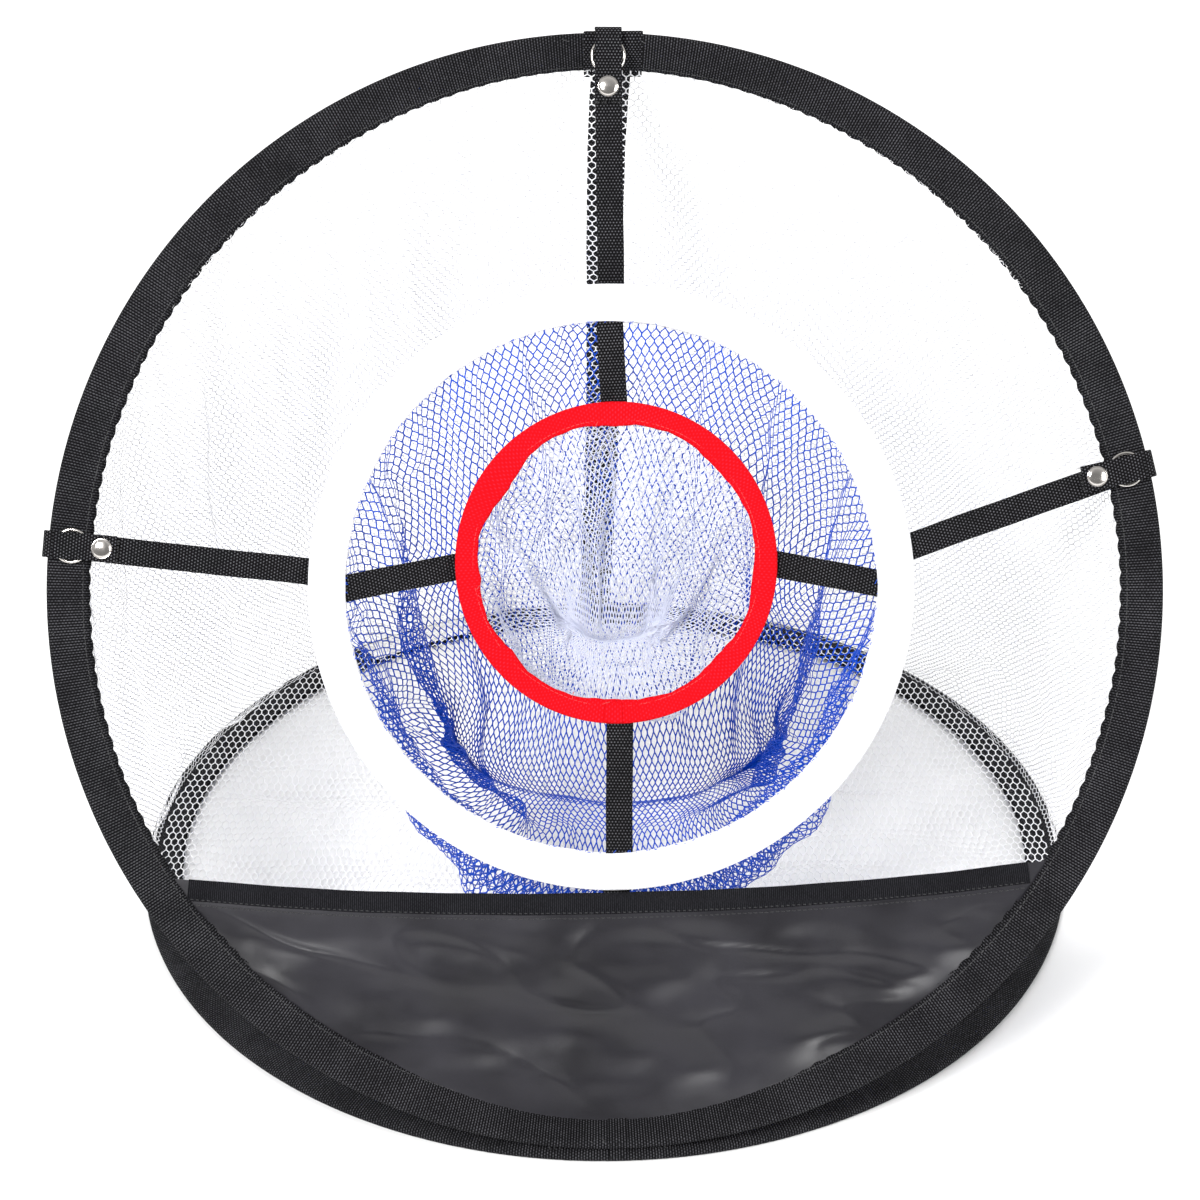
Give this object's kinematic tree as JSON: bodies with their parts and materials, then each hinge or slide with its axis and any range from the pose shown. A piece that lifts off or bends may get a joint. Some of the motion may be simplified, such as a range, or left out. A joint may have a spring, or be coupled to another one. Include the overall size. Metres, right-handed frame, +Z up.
{
  "type": "golf chipping net",
  "caption": "Folding golf target: a leaning wire hoop with nested ring targets and net pockets, sewn to a round base hoop with a ball-catching bag.",
  "frame": {"origin": "centre of the base hoop, on the ground", "axes": "+Z up, +Y away from the player, +X to the player's right"},
  "size_m": [0.5318, 0.504, 0.469],
  "materials": {
    "black_webbing": "woven polypropylene webbing, matt",
    "white_webbing": "ribbed white webbing, matt",
    "red_webbing": "ribbed red binding tape, matt",
    "black_cloth": "coated nylon, satin",
    "white_net": "knitted polyester net",
    "blue_net": "knitted polyester net",
    "white_tape": "satin tape, blank",
    "black_thread": "sewing thread",
    "spring_steel": "drawn spring wire",
    "crimp_steel": "plain crimped sleeve",
    "nickel_plate": "polished plating"
  },
  "bodies": {
    "base_hoop": {"base_wire": "spring_steel", "base_wire_ferrule": "crimp_steel", "base_binding": "black_webbing", "floor_net": "white_net", "outer_net": "white_net", "rear_strap": "black_webbing", "rear_strap_lower_patch": "black_webbing", "hinge_seam": "black_thread", "blank_label": "white_tape"},
    "front_hoop": {"front_binding": "black_webbing", "front_panel": "black_cloth", "front_wire": "spring_steel", "front_wire_ferrule": "crimp_steel", "inner_pocket_net": "white_net", "inner_ring_binding": "red_webbing", "inner_ring_wire": "spring_steel", "inner_ring_wire_ferrule": "crimp_steel", "inner_strap_bottom": "black_webbing", "inner_strap_left": "black_webbing", "inner_strap_right": "black_webbing", "inner_strap_top": "black_webbing", "middle_pocket_net": "blue_net", "middle_ring_binding": "white_webbing", "middle_ring_wire": "spring_steel", "middle_ring_wire_ferrule": "crimp_steel", "o_ring_left": "nickel_plate", "o_ring_right": "nickel_plate", "o_ring_top": "nickel_plate", "outer_strap_bottom": "black_webbing", "outer_strap_left": "black_webbing", "outer_strap_right": "black_webbing", "outer_strap_top": "black_webbing", "rear_strap_upper_patch": "black_webbing", "snap_stud_left": "nickel_plate", "snap_stud_right": "nickel_plate", "snap_stud_top": "nickel_plate", "snap_tab_left": "black_webbing", "snap_tab_right": "black_webbing", "snap_tab_top": "black_webbing"},
    "top_flap": {"snap_flap_top": "black_webbing", "snap_cap_top": "nickel_plate", "snap_socket_top": "nickel_plate"},
    "left_flap": {"snap_flap_left": "black_webbing", "snap_cap_left": "nickel_plate", "snap_socket_left": "nickel_plate"},
    "right_flap": {"snap_flap_right": "black_webbing", "snap_cap_right": "nickel_plate", "snap_socket_right": "nickel_plate"}
  },
  "joints": [
    {"name": "fold", "type": "hinge", "parent": "base_hoop", "child": "front_hoop", "pos_m": [0, -0.2455, 0.0053], "axis": [-1, 0, 0], "range_deg": [0, 57], "stiffness_Nm_per_rad": 0.6, "springref_deg": -57.3, "deforming": ["outer_net", "rear_strap", "middle_pocket_net", "inner_pocket_net"]},
    {"name": "top_snap_lift", "type": "hinge", "parent": "front_hoop", "child": "top_flap", "pos_m": [0.00366, 0.00813, 0.46621], "axis": [-0.9999, 0.007, 0.0121], "range_deg": [0, 140]},
    {"name": "left_snap_lift", "type": "hinge", "parent": "front_hoop", "child": "left_flap", "pos_m": [-0.26071, -0.10898, 0.26137], "axis": [-0.0993, -0.4975, -0.8617], "range_deg": [0, 140]},
    {"name": "right_snap_lift", "type": "hinge", "parent": "front_hoop", "child": "right_flap", "pos_m": [0.25539, -0.09274, 0.28949], "axis": [-0.2232, 0.4874, 0.8442], "range_deg": [0, 140]}
  ]
}
